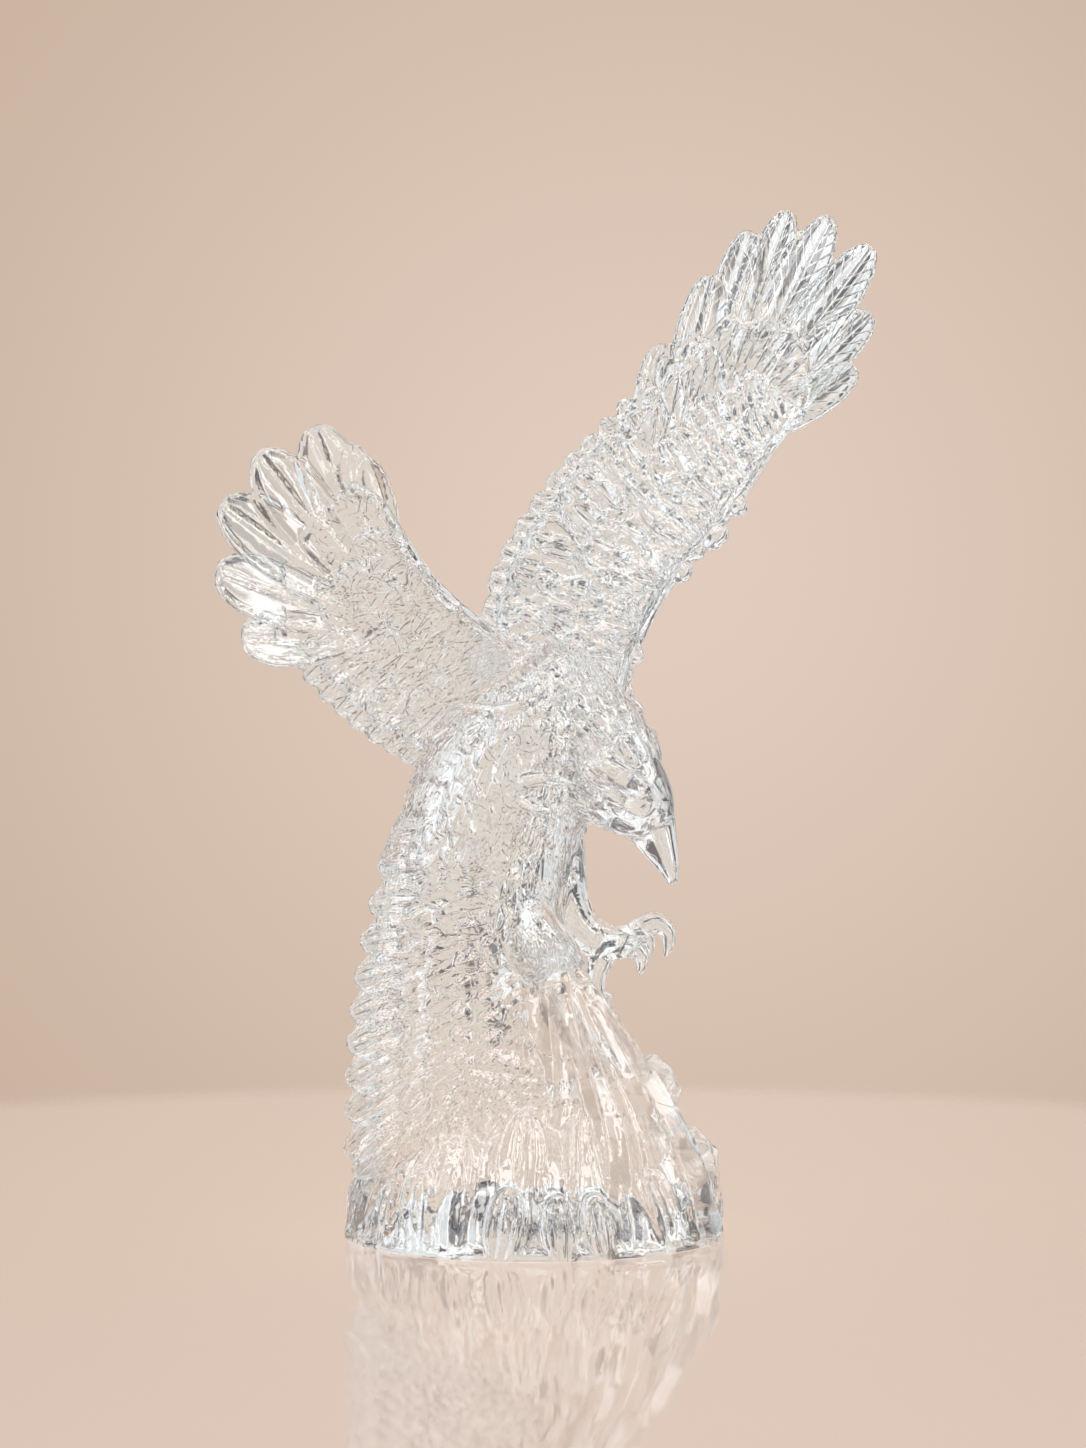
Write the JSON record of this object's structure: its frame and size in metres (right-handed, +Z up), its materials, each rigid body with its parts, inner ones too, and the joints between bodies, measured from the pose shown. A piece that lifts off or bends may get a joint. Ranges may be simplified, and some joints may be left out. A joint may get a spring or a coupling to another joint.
{
  "type": "crystal eagle sculpture",
  "caption": "Eagle alighting on a rock with raised wings, reaching talons and a fanned tail, cast and cut in solid clear crystal on a round fluted base.",
  "frame": {"origin": "centre of the round flat underside", "axes": "+Z up, the bird faces +X and a little -Y, its left wing is raised at the back (+Y) and its right wing is spread in front (-Y)"},
  "size_m": [0.1933, 0.112, 0.3051],
  "materials": {
    "clear_crystal": "clear lead crystal, fire-polished, with finely carved feathers"
  },
  "bodies": {
    "root": {"crystal_eagle": "clear_crystal"}
  },
  "joints": []
}
